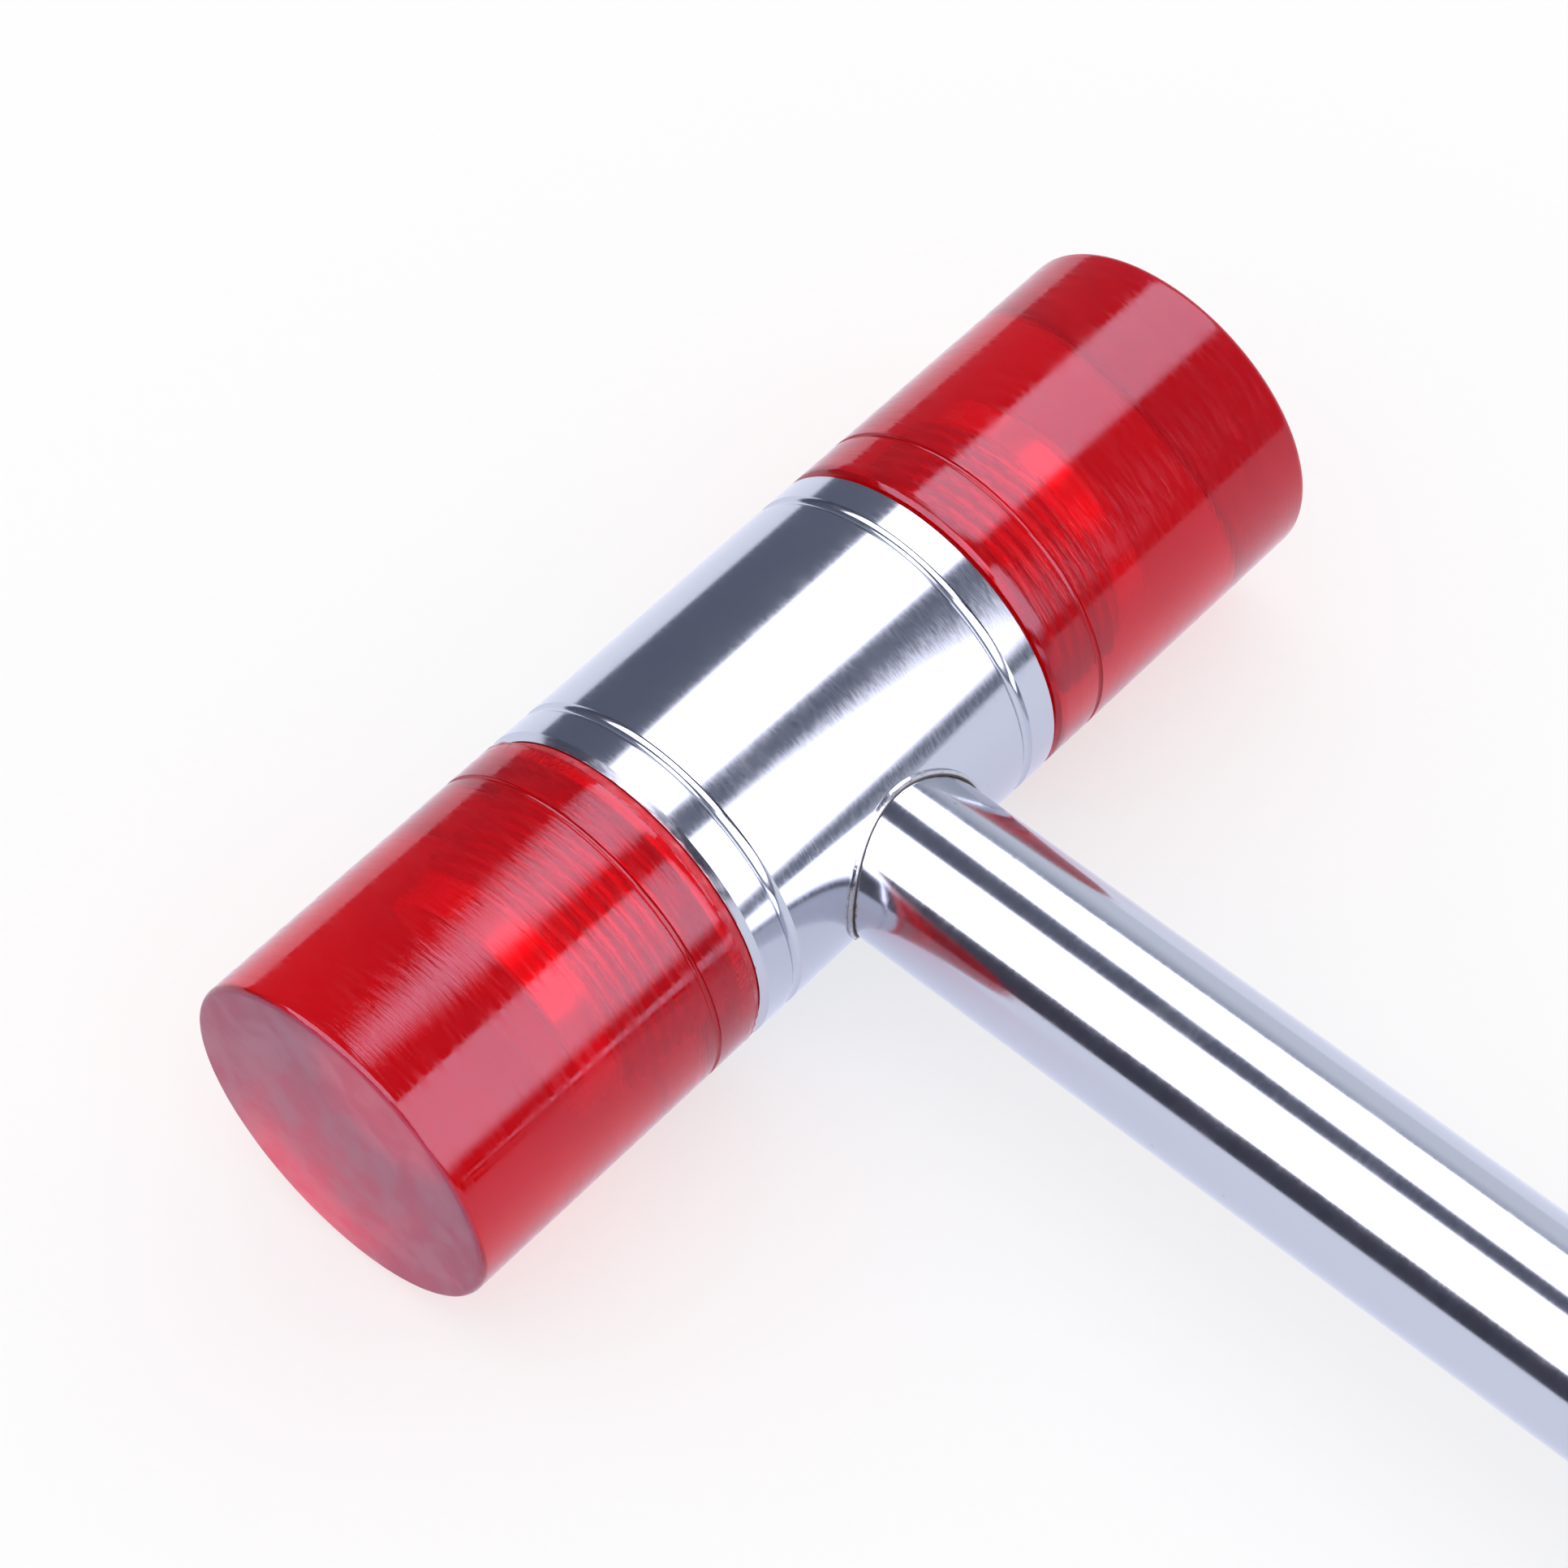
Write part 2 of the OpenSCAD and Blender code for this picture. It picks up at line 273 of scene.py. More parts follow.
def turned_piece_tree():
    """The profile's X is a radius and its Y a height. Its marks say where the small forms are."""
    tree = bpy.data.node_groups.new("Turned piece", "GeometryNodeTree")
    tree.is_modifier = True
    sockets(
        tree,
        ("Geometry", "INPUT", "NodeSocketGeometry", None),
        ("Segments", "INPUT", "NodeSocketInt", 144),
        ("Thread Pitch", "INPUT", "NodeSocketFloat", THREAD_PITCH * MM),
        ("Thread Depth", "INPUT", "NodeSocketFloat", THREAD_DEPTH * MM),
        ("Thread Start", "INPUT", "NodeSocketFloat", THREAD_MARGIN * MM),
        ("Parting Ridge", "INPUT", "NodeSocketFloat", 0.0),
        ("Edge Wear", "INPUT", "NodeSocketFloat", 0.0),
        ("Place", "INPUT", "NodeSocketVector", (0.0, 0.0, 0.0)),
        ("Turn", "INPUT", "NodeSocketVector", (0.0, 0.0, 0.0)),
        ("Material", "INPUT", "NodeSocketMaterial", None),
        ("Geometry", "OUTPUT", "NodeSocketGeometry", None),
    )
    given = add(tree, "NodeGroupInput").outputs
    profile = given["Geometry"]
    position = add(tree, "GeometryNodeInputPosition").outputs[0]

    # A flat sheet, with a row for each point of the profile
    size = add(tree, "GeometryNodeAttributeDomainSize", {"Geometry": profile}, component="MESH")
    count = size.outputs["Point Count"]
    last = calc(tree, "SUBTRACT", count, 1.0)
    ring = calc(tree, "ADD", given["Segments"], 1.0)
    sheet = add(tree, "GeometryNodeMeshGrid", {
        "Size X": last, "Size Y": 1.0, "Vertices X": count, "Vertices Y": ring,
    }).outputs["Mesh"]
    at = axes(tree, position)
    index = calc(tree, "ROUND", calc(tree, "ADD", at["X"], calc(tree, "MULTIPLY", last, 0.5)))
    turns = calc(tree, "ADD", at["Y"], 0.5)
    angle = calc(tree, "MULTIPLY", turns, 2 * math.pi)
    compass = {"X": calc(tree, "COSINE", angle), "Y": calc(tree, "SINE", angle)}

    def along_profile(value, kind):
        inputs = {"Geometry": profile, "Value": value, "Index": index}
        return add(tree, "GeometryNodeSampleIndex", inputs, data_type=kind).outputs[0]

    def mark(name):
        n = add(tree, "GeometryNodeInputNamedAttribute", {"Name": name}, data_type="FLOAT")
        return along_profile(n.outputs[0], "FLOAT")

    point = axes(tree, along_profile(position, "FLOAT_VECTOR"))

    # Truncated form: up one flank, along the crest, down the other flank, along the root
    height = calc(tree, "SUBTRACT", point["Y"], given["Thread Start"])
    height = calc(tree, "DIVIDE", height, given["Thread Pitch"])
    phase = calc(tree, "FLOORED_MODULO", calc(tree, "SUBTRACT", height, turns), 1.0)
    rise = calc(tree, "DIVIDE", phase, THREAD_FLANK)
    fall = calc(tree, "SUBTRACT", 2 * THREAD_FLANK + THREAD_CREST, phase)
    fall = calc(tree, "DIVIDE", fall, THREAD_FLANK)
    form = calc(tree, "MINIMUM", rise, fall, clamp=True)
    depth = calc(tree, "MULTIPLY", given["Thread Depth"], mark("thread"))
    radius = calc(tree, "MULTIPLY_ADD", form, depth, point["X"])

    # A fine ridge down both sides, where two halves of a mould met
    side = calc(tree, "ABSOLUTE", compass["Y"])
    ridge = calc(tree, "MULTIPLY", ramp(tree, side, RIDGE_SPREAD, 0.0), given["Parting Ridge"])
    radius = calc(tree, "MULTIPLY_ADD", ridge, mark("ridge"), radius)

    # A worn edge wanders up and down the axis
    direction = add(tree, "ShaderNodeCombineXYZ", compass).outputs[0]
    wander = noise(tree, direction, EDGE_WAVES, detail=4.0)
    wander = calc(tree, "SUBTRACT", wander, EDGE_MIDDLE)
    wander = calc(tree, "MULTIPLY", wander, given["Edge Wear"])
    wander = calc(tree, "MULTIPLY", wander, mark("worn"))

    place = add(tree, "ShaderNodeCombineXYZ", {
        "X": calc(tree, "MULTIPLY", radius, compass["X"]),
        "Y": calc(tree, "MULTIPLY", radius, compass["Y"]),
        "Z": calc(tree, "ADD", point["Y"], wander),
    }).outputs[0]
    geometry = sheet
    for kind, inputs in (
        ("GeometryNodeSetPosition", {"Position": place}),
        ("GeometryNodeMergeByDistance", {"Distance": SEAM_MERGE}),
        ("GeometryNodeTransform", {"Translation": given["Place"], "Rotation": given["Turn"]}),
        ("GeometryNodeSetShadeSmooth", {}),
        ("GeometryNodeRealizeInstances", {}),
        ("GeometryNodeSetMaterial", {"Material": given["Material"]}),
    ):
        geometry = add(tree, kind, {"Geometry": geometry, **inputs}).outputs[0]
    add(tree, "NodeGroupOutput", {"Geometry": geometry})
    return tree


def turned_piece(name, tree, profile, material, **sizes):
    """A plain mesh object from a profile of (radius, height, thread, ridge, worn) points."""
    line = bpy.data.meshes.new(name + "_profile")
    points = [(p[0] * MM, p[1] * MM, 0.0) for p in profile]
    line.from_pydata(points, [(i, i + 1) for i in range(len(profile) - 1)], [])
    for k, mark in enumerate(PROFILE_MARKS, start=2):
        values = [p[k] for p in profile]
        line.attributes.new(mark, "FLOAT", "POINT").data.foreach_set("value", values)
    source = bpy.data.objects.new(name + "_profile", line)
    bpy.context.scene.collection.objects.link(source)
    turning = source.modifiers.new("turning", "NODES")
    turning.node_group = tree
    wanted = {"Material": material}
    wanted.update((socket_name(key), value) for key, value in sizes.items())
    for item in tree.interface.items_tree:
        if item.item_type == "SOCKET" and item.in_out == "INPUT" and item.name in wanted:
            turning[item.identifier] = wanted[item.name]
    bpy.context.view_layer.update()
    ready = source.evaluated_get(bpy.context.evaluated_depsgraph_get())
    mesh = bpy.data.meshes.new_from_object(ready)
    source.modifiers.remove(turning)
    bpy.data.objects.remove(source)
    return finished(name, mesh, material)


def finished(name, mesh, material):
    """The mesh as an object in place, with its faces pointing outwards."""
    bm = bmesh.new()
    bm.from_mesh(mesh)
    bmesh.ops.recalc_face_normals(bm, faces=bm.faces)
    if bm.calc_volume(signed=True) < 0:
        bmesh.ops.reverse_faces(bm, faces=bm.faces)
    for f in bm.faces:
        f.smooth = True
    bm.to_mesh(mesh)
    bm.free()
    mesh.set_sharp_from_angle(angle=math.radians(SHARP_ANGLE))
    mesh.materials.clear()
    mesh.materials.append(material)
    piece = bpy.data.objects.new(name, mesh)
    bpy.context.scene.collection.objects.link(piece)
    return piece


def arc(cx, cy, r, start, end, steps):
    """Points on an arc, angles in degrees."""
    angles = [math.radians(start + (end - start) * k / steps) for k in range(steps + 1)]
    return [(cx + r * math.cos(a), cy + r * math.sin(a)) for a in angles]


def groove(r, at, w, d, steps, way):
    """Points of a round-bottomed groove in a cylinder, walked UP or DOWN the axis."""
    circle_r = w * w / (8 * d) + d / 2
    half = math.degrees(math.asin(w / 2 / circle_r))
    points = arc(r - d + circle_r, at, circle_r, 180 + half, 180 - half, steps)
    return points if way == UP else points[::-1]


def straight(a, b, step):
    """Points from a to b, about a step apart, without b."""
    n = max(1, round(math.dist(a, b) / step))
    return [(a[0] + (b[0] - a[0]) * k / n, a[1] + (b[1] - a[1]) * k / n) for k in range(n)]


def marked(points, thread=0.0, ridge=0.0, worn=0.0):
    """The points with how much of each small form they take."""
    return [(p[0], p[1], thread, ridge, worn) for p in points]


# Materials


def turning_lines_group():
    """Fine rings left by a lathe or a polishing wheel, round the X axis of the vector."""
    tree = bpy.data.node_groups.new("Turning lines", "ShaderNodeTree")
    sockets(
        tree,
        ("Vector", "INPUT", "NodeSocketVector", None),
        ("Lines Per Metre", "INPUT", "NodeSocketFloat", 9000.0),
        ("Wander", "INPUT", "NodeSocketFloat", 40.0),
        ("Lines", "OUTPUT", "NodeSocketFloat", None),
        ("Streaks", "OUTPUT", "NodeSocketFloat", None),
    )
    given = add(tree, "NodeGroupInput").outputs
    fine_share, coarse_share, coarse_spread = 0.6, 0.4, 0.35

    def rings(per_metre, detail):
        spread = {"X": per_metre, "Y": given["Wander"], "Z": given["Wander"]}
        scale = add(tree, "ShaderNodeCombineXYZ", spread).outputs[0]
        inputs = {0: given["Vector"], 1: scale}
        v = add(tree, "ShaderNodeVectorMath", inputs, operation="MULTIPLY").outputs[0]
        return noise(tree, v, 1.0, detail, roughness=0.6)

    fine = rings(given["Lines Per Metre"], detail=3.0)
    coarse = rings(calc(tree, "MULTIPLY", given["Lines Per Metre"], coarse_spread), detail=2.0)
    streaks = calc(tree, "MULTIPLY", fine, fine_share)
    streaks = calc(tree, "ADD", streaks, calc(tree, "MULTIPLY", coarse, coarse_share))
    add(tree, "NodeGroupOutput", {"Lines": fine, "Streaks": streaks})
    return tree


def handling_group():
    """Scattered faint rubs and specks from use."""
    tree = bpy.data.node_groups.new("Handling marks", "ShaderNodeTree")
    sockets(
        tree,
        ("Vector", "INPUT", "NodeSocketVector", None),
        ("Size", "INPUT", "NodeSocketFloat", 0.004),
        ("Rubs", "OUTPUT", "NodeSocketFloat", None),
        ("Specks", "OUTPUT", "NodeSocketFloat", None),
    )
    given = add(tree, "NodeGroupInput").outputs
    rub_range, speck_range, speck_places = (0.45, 0.75), (0.12, 0.04), (0.5, 0.6)
    specks_per_rub = 2.5
    scale = calc(tree, "DIVIDE", 1.0, given["Size"])
    cloud = noise(tree, given["Vector"], scale, detail=5.0)
    dots = add(tree, "ShaderNodeTexVoronoi", {
        "Vector": given["Vector"], "Scale": calc(tree, "MULTIPLY", scale, specks_per_rub),
    }).outputs["Distance"]
    specks = ramp(tree, dots, *speck_range)
    add(tree, "NodeGroupOutput", {
        "Rubs": ramp(tree, cloud, *rub_range),
        "Specks": calc(tree, "MULTIPLY", specks, ramp(tree, cloud, *speck_places)),
    })
    return tree


turning_lines = turning_lines_group()
handling_marks = handling_group()


def new_material(name):
    """A material and its empty node tree."""
    m = bpy.data.materials.new(name)
    m.use_nodes = True
    m.node_tree.nodes.clear()
    return m, m.node_tree


def object_point(tree, centre, turn=HEAD_AXIS):
    """Object coordinates measured from a point, turned so that a piece's axis lies along X."""
    here = add(tree, "ShaderNodeTexCoord").outputs["Object"]
    inputs = {"Vector": here, "Location": [-c for c in centre]}
    moved = add(tree, "ShaderNodeMapping", inputs, vector_type="POINT").outputs[0]
    return add(tree, "ShaderNodeMapping", {"Vector": moved, "Rotation": turn}).outputs[0]


def group(tree, node_tree, **inputs):
    """A shared effect's outputs, with this material's own values."""
    n = add(tree, "ShaderNodeGroup", node_tree=node_tree)
    for key, value in inputs.items():
        connect(tree, n.inputs[socket_name(key)], value)
    return n.outputs


def fine_relief(tree, height, strength, depth):
    """A bump's normal, with its depth in millimetres."""
    inputs = {"Height": height, "Strength": strength, "Distance": depth * MM}
    return add(tree, "ShaderNodeBump", inputs).outputs[0]


def surface(tree, inputs, inner=None):
    """The shader on the material's output. inner is what light meets inside the piece."""
    ends = {"Surface": add(tree, "ShaderNodeBsdfPrincipled", inputs).outputs[0]}
    if inner is not None:
        ends["Volume"] = inner
    add(tree, "ShaderNodeOutputMaterial", ends)


def metres(places):
    """Places given in millimetres."""
    return [mm * MM for mm in places]


def past_end(places):
    """Metres from the middle of the head to places in millimetres past its end."""
    return [(HEAD_LEN / 2 + mm) * MM for mm in places]


def plated_metal(name, axis, rough_range, bump):
    """Bright plating over fine polishing lines."""
    m, tree = new_material(name)
    here = object_point(tree, HEAD_CENTRE, axis)
    ring = group(tree, turning_lines, vector=here, lines_per_metre=9000.0, wander=900.0)
    mark = group(tree, handling_marks, vector=here, size=0.006)
    streak_range, rubbed_rough = (0.38, 0.62), 0.03
    rough = ramp(tree, ring["Streaks"], *streak_range, *rough_range)
    rough = calc(tree, "MULTIPLY_ADD", mark["Rubs"], rubbed_rough, rough)
    colour = blend_colour(tree, mark["Specks"], PLATING, PLATING_SPECK)
    normal = fine_relief(tree, ring["Lines"], strength=bump, depth=0.02)
    surface(tree, {"Base Color": colour, "Metallic": 1.0, "Roughness": rough, "Normal": normal})
    return m


def clear_red_plastic():
    """Clear deep red plastic, finely turned on the round and frosted on the striking face.

    It is rough in the thread, smooth past it, and chipped at the seat edge of the left face.
    """
    m, tree = new_material("clear_red_plastic")
    here = object_point(tree, HEAD_CENTRE)
    p = axes(tree, here)
    reach = calc(tree, "ABSOLUTE", p["X"])
    radius = off_axis(tree, p["Y"], p["Z"])
    frost = ramp(tree, reach, *past_end(FROST_FADE))
    inside = ramp(tree, radius, *metres(INSIDE_FADE))
    inside = calc(tree, "MULTIPLY", inside, calc(tree, "SUBTRACT", 1.0, frost))
    pocket = calc(tree, "MULTIPLY", inside, ramp(tree, reach, *past_end(POCKET_FADE)))
    on_left = ramp(tree, p["X"], MM, -MM)
    worn = calc(tree, "MULTIPLY", ramp(tree, reach, *past_end(CHIP_FADE)), on_left)
    ring = group(tree, turning_lines, vector=here, lines_per_metre=3600.0, wander=300.0)
    mark = group(tree, handling_marks, vector=here, size=0.005)
    chip = group(tree, handling_marks, vector=here, size=0.0012)

    streak_range = (0.4, 0.6)
    rough = ramp(tree, ring["Streaks"], *streak_range, to_low=0.03, to_high=0.18)
    changes = (mark["Rubs"], 0.02), (frost, 0.28), (inside, 0.5), (pocket, -0.5), (worn, 0.35)
    for mask, change in changes:
        rough = calc(tree, "MULTIPLY_ADD", mask, change, rough)
    tint = blend_colour(tree, mark["Rubs"], PLASTIC, PLASTIC_RUBBED)
    tint = blend_colour(tree, frost, tint, PLASTIC_FROSTED)

    torn_height, frost_haze = 6.0, 0.15
    grain = noise(tree, here, scale=2500.0, detail=2.0)
    grain = calc(tree, "MULTIPLY", grain, torn_height)
    height = calc(tree, "MULTIPLY", ring["Lines"], calc(tree, "SUBTRACT", 1.0, inside))
    height = calc(tree, "MULTIPLY_ADD", worn, grain, height)
    normal = fine_relief(tree, height, strength=1.0, depth=0.014)
    haze = calc(tree, "MULTIPLY", frost, frost_haze)
    haze = calc(tree, "MAXIMUM", haze, calc(tree, "MULTIPLY", worn, chip["Rubs"]))
    depth = {"Color": PLASTIC_DEPTH, "Density": 100.0}
    surface(tree, {
        "Base Color": tint, "Roughness": rough, "Normal": normal, "IOR": 1.45,
        "Transmission Weight": 0.88, "Specular Tint": PLASTIC_GLOSS,
        "Coat Weight": haze, "Coat Roughness": 0.45, "Coat IOR": 1.5,
    }, inner=add(tree, "ShaderNodeVolumeAbsorption", depth).outputs[0])
    return m


def machined_steel():
    """Machined steel, brighter and grained on the washers and on the plain nose of a stud."""
    m, tree = new_material("machined_steel")
    here = object_point(tree, HEAD_CENTRE)
    reach = calc(tree, "ABSOLUTE", axes(tree, here)["X"])
    washer = ramp(tree, reach, *past_end(WASHER_FADE))
    nose = ramp(tree, reach, *past_end(NOSE_FADE))
    bright = calc(tree, "MAXIMUM", nose, washer)
    ring = group(tree, turning_lines, vector=here, lines_per_metre=5000.0, wander=60.0)
    mark = group(tree, handling_marks, vector=here, size=0.003)
    colour = blend_colour(tree, mark["Rubs"], STEEL, STEEL_RUBBED)
    colour = blend_colour(tree, bright, colour, STEEL_BRIGHT)
    streak_range, bright_smoother = (0.36, 0.62), -0.12
    rough = ramp(tree, ring["Streaks"], *streak_range, to_low=0.4, to_high=0.55)
    rough = calc(tree, "MULTIPLY_ADD", bright, bright_smoother, rough)
    grain = noise(tree, here, scale=3000.0, detail=2.0)
    height = calc(tree, "MULTIPLY_ADD", bright, grain, ring["Lines"])
    normal = fine_relief(tree, height, strength=0.3, depth=0.03)
    surface(tree, {"Base Color": colour, "Metallic": 1.0, "Roughness": rough, "Normal": normal})
    return m


def stained_shaded_braze():
    """Plated bead round the handle, with brown stains low on its left and painted shade: dark and
    dull in the narrow gap where it meets the tube.
    """
    m, tree = new_material("stained_shaded_braze")
    here = object_point(tree, HEAD_CENTRE)
    p = axes(tree, here)
    mark = group(tree, handling_marks, vector=here, size=0.0012)
    left_lean, stain_low, stain_all_round, dull_metal = 0.8, (4.0, -6.0), 0.25, -0.8
    # Painted shade: next to the tube the bead is coloured dark and made duller, as the gap in
    # shade looks
    gap_shade = ramp(tree, off_axis(tree, p["X"], p["Z"]), *metres(GAP_SHADE_FADE))
    low = calc(tree, "MULTIPLY_ADD", p["X"], left_lean, p["Z"])
    low = calc(tree, "MULTIPLY", ramp(tree, low, *metres(stain_low)), mark["Rubs"])
    stain = calc(tree, "MAXIMUM", low, calc(tree, "MULTIPLY", mark["Rubs"], stain_all_round))
    # Both the real stains and the painted shade dull the metal
    stain_and_shade = calc(tree, "MAXIMUM", stain, gap_shade)
    colour = blend_colour(tree, stain, BRAZE, BRAZE_STAIN)
    colour = blend_colour(tree, gap_shade, colour, BRAZE_GAP_SHADE)
    metal = calc(tree, "MULTIPLY_ADD", stain_and_shade, dull_metal, 1.0)
    rough = ramp(tree, stain_and_shade, 0.0, 1.0, to_low=0.16, to_high=0.6)
    normal = fine_relief(tree, mark["Rubs"], strength=0.4, depth=0.08)
    surface(tree, {"Base Color": colour, "Metallic": metal, "Roughness": rough, "Normal": normal})
    return m


def moulded_vinyl():
    """Black moulded grip with a fine leather-like grain, rubbed smoother on its ribs."""
    m, tree = new_material("moulded_vinyl")
    here = object_point(tree, GRIP_FRONT, HANDLE_AXIS)
    p = axes(tree, here)
    mark = group(tree, handling_marks, vector=here, size=0.012)
    fine_share = 0.5
    cells = {"Vector": here, "Scale": 1500.0}
    grain = add(tree, "ShaderNodeTexVoronoi", cells, feature="SMOOTH_F1").outputs["Distance"]
    fine = noise(tree, here, scale=3500.0, detail=3.0)
    height = calc(tree, "MULTIPLY_ADD", fine, fine_share, grain)
    crest = ramp(tree, off_axis(tree, p["Y"], p["Z"]), *metres(RIB_FADE))
    rubbed = calc(tree, "MULTIPLY", crest, mark["Rubs"])
    colour = blend_colour(tree, rubbed, VINYL, VINYL_RUBBED)
    colour = blend_colour(tree, mark["Specks"], colour, VINYL_SPECK)
    rough = ramp(tree, rubbed, 0.0, 1.0, to_low=0.62, to_high=0.42)
    normal = fine_relief(tree, height, strength=0.35, depth=0.12)
    surface(tree, {
        "Base Color": colour, "Roughness": rough, "Specular IOR Level": 0.25, "Normal": normal,
    })
    return m


head_plating = plated_metal("head_plating_lines", HEAD_AXIS, (0.115, 0.16), bump=0.035)
tube_plating = plated_metal("tube_plating_lines", HANDLE_AXIS, (0.095, 0.13), bump=0.03)
red_plastic = clear_red_plastic()
steel = machined_steel()
braze = stained_shaded_braze()
vinyl = moulded_vinyl()


# Pieces


def face_profile(chamfer):
    """From the middle of the striking face round the outside to the bottom of the blind hole."""
    root = THREAD_R - THREAD_DEPTH + THREAD_GAP
    edge_r, floor_r = STRIKE_EDGE_R, POCKET_EDGE_R
    side_start = FACE_LEN - edge_r - STRIKE_LEAD
    side_end = SEAM_INSET + SEAM_W / 2 + EASE
    lip = SEAT_GAP + chamfer
    pocket_end = HOLE_DEPTH - floor_r
    points = straight((0.0, FACE_LEN), (HEAD_R - edge_r, FACE_LEN), step=2.0)
    points += arc(HEAD_R - edge_r, FACE_LEN - edge_r, edge_r, 90, 0, steps=8)
    points += straight((HEAD_R, side_start), (HEAD_R, side_end), step=1.5)
    points += groove(HEAD_R, SEAM_INSET, SEAM_W, SEAM_DEPTH, steps=8, way=DOWN)
    points += [(HEAD_R, SEAM_INSET - SEAM_W), (HEAD_R, lip + SEAT_LEAD)]
    edge = [(HEAD_R, lip + EASE), (HEAD_R - LIP_IN, lip - LIP_DOWN)]
    seat = [(HEAD_R - chamfer, SEAT_GAP)]
    seat += [(RECESS_R + EASE, SEAT_GAP), (RECESS_R, SEAT_GAP + EASE), (RECESS_R, RECESS_DEPTH)]
    seat += [(RELIEF_R + EASE, RECESS_DEPTH), (RELIEF_R, RECESS_DEPTH + EASE)]
    hole = straight((root, RECESS_DEPTH + FACE_THREAD_LEAD),
                    (root, POCKET_START - THREAD_MARGIN), THREAD_STEP)
    tail = [(root, POCKET_START - THREAD_MARGIN / 2), (POCKET_R, POCKET_START)]
    tail += straight((POCKET_R, POCKET_START + 2 * EASE), (POCKET_R, pocket_end), step=0.6)
    tail += arc(POCKET_R - floor_r, pocket_end, floor_r, 0, 90, steps=5)
    tail += [(POCKET_R / 2, HOLE_DEPTH), (0.0, HOLE_DEPTH)]
    return (marked(points) + marked(edge, worn=1.0) + marked(seat)
            + marked(hole, thread=1.0) + marked(tail))


def stud_profile():
    """From the inner end of the shank along the thread and the plain nose to its flat end."""
    root = THREAD_R - THREAD_DEPTH
    undercut = root - UNDERCUT
    shank = undercut - SHANK_STEP
    neck = NOSE_R - NECK_STEP
    thread_end = NOSE_START - NECK_LEN - THREAD_MARGIN
    points = [(0.0, -SHANK_LEN), (shank - SHANK_CHAMFER, -SHANK_LEN)]
    points += [(shank, SHANK_CHAMFER - SHANK_LEN), (shank, -EASE), (shank, 0.0)]
    points += [(undercut, 0.0), (undercut, UNDERCUT_LEN)]
    threaded = straight((root, UNDERCUT_LEN + EASE), (root, thread_end), THREAD_STEP)
    tail = [(root, thread_end + EASE), (neck, NOSE_START - NECK_LEN), (neck, NOSE_START)]
    tail += straight((NOSE_R, NOSE_START), (NOSE_R, NOSE_END - NOSE_CHAMFER), step=0.8)
    tail += [(NOSE_R, NOSE_END - NOSE_CHAMFER), (NOSE_R - NOSE_CHAMFER, NOSE_END)]
    tail += [(NOSE_R / 2, NOSE_END), (0.0, NOSE_END)]
    return marked(points) + marked(threaded, thread=1.0) + marked(tail)


def grip_profile():
    """From the bore's mouth round the outside to the butt, in at its vent and back up the bore."""
    bore = TUBE_R + BORE_GAP
    mouth = bore + BORE_CHAMFER
    rr = GRIP_ROUND
    flare = GRIP_LEN - BUTT_LEN
    fillet_x = GRIP_R + FILLET_R
    points = [(bore, BORE_CHAMFER), (mouth, 0.0)]
    points += straight((mouth + EASE, 0.0), (COLLAR_R - rr, 0.0), step=0.6)
    points += arc(COLLAR_R - rr, rr, rr, -90, 0, steps=10)
    points += arc(COLLAR_R - rr, COLLAR_LEN - rr, rr, 0, 60, steps=8)
    points += arc(fillet_x, COLLAR_LEN + FILLET_AT, FILLET_R, 240, 180, steps=4)
    walk = COLLAR_LEN + FILLET_END
    first = COLLAR_LEN + RIB_PITCH
    last = flare - RIB_PITCH
    for k in range(math.floor((last - first) / RIB_PITCH) + 1):
        at = first + k * RIB_PITCH
        points += straight((GRIP_R, walk), (GRIP_R, at - RIB_GROOVE_W / 2), step=0.5)
        points += groove(GRIP_R, at, RIB_GROOVE_W, RIB_GROOVE_DEPTH, steps=10, way=UP)
        walk = at + RIB_GROOVE_W / 2 + EASE
    points += straight((GRIP_R, walk), (GRIP_R, flare - FILLET_END), step=0.5)
    points += arc(fillet_x, flare - FILLET_AT, FILLET_R, 180, 120, steps=4)
    points += arc(BUTT_R - rr, flare + rr, rr, -60, 0, steps=8)
    points += arc(BUTT_R - rr, GRIP_LEN - rr, rr, 0, 90, steps=10)
    inner = [(BUTT_R - inset, GRIP_LEN - deep) for inset, deep in BUTT_RING]
    inner += [(VENT_MOUTH_R, GRIP_LEN), (VENT_R, GRIP_LEN - VENT_CHAMFER)]
    inner += [(VENT_R, GRIP_LEN - BUTT_END), (bore, GRIP_LEN - BUTT_END)]
    inner += [(bore, GRIP_LEN / 2), (bore, BORE_CHAMFER)]
    return marked(points, ridge=1.0) + marked(inner)


turned = turned_piece_tree()

for side, name in ((LEFT, "left"), (RIGHT, "right")):
    seat_point = HEAD_CENTRE + Vector((side * HEAD_LEN / 2 * MM, 0.0, 0.0))
    outwards = (0.0, side * math.pi / 2, 0.0)
    cap = turned_piece(
        name + "_red_face", turned, face_profile(SEAT_CHAMFER[side]), red_plastic,
        place=seat_point, turn=outwards, segments=240, edge_wear=SEAT_WEAR[side] * MM)
    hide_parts(name + "_face")
    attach(cap, name + "_cap")
    stud = turned_piece(
        name + "_threaded_stud", turned, stud_profile(), steel,
        place=seat_point, turn=outwards, segments=120)
    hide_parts(name + "_stud")
    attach(stud, "hammer")

grip = turned_piece(
    "ribbed_grip", turned, grip_profile(), vinyl, place=GRIP_FRONT,
    turn=(math.pi / 2, 0.0, 0.0), segments=120, parting_ridge=PARTING_RIDGE * MM)
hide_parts("grip")
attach(grip, "hammer")

for node, finish in (
    ("head_body", head_plating), ("handle_tube", tube_plating), ("handle_braze", braze),
    ("left_washer", steel), ("right_washer", steel),
):
    nodes[node].data.materials.clear()
    nodes[node].data.materials.append(finish)


# Stage: a pale floor and a soft studio


def rectangle(left, right, low, high):
    """The corners of a rectangle, in order round it."""
    return (left, low), (right, low), (right, high), (left, high)


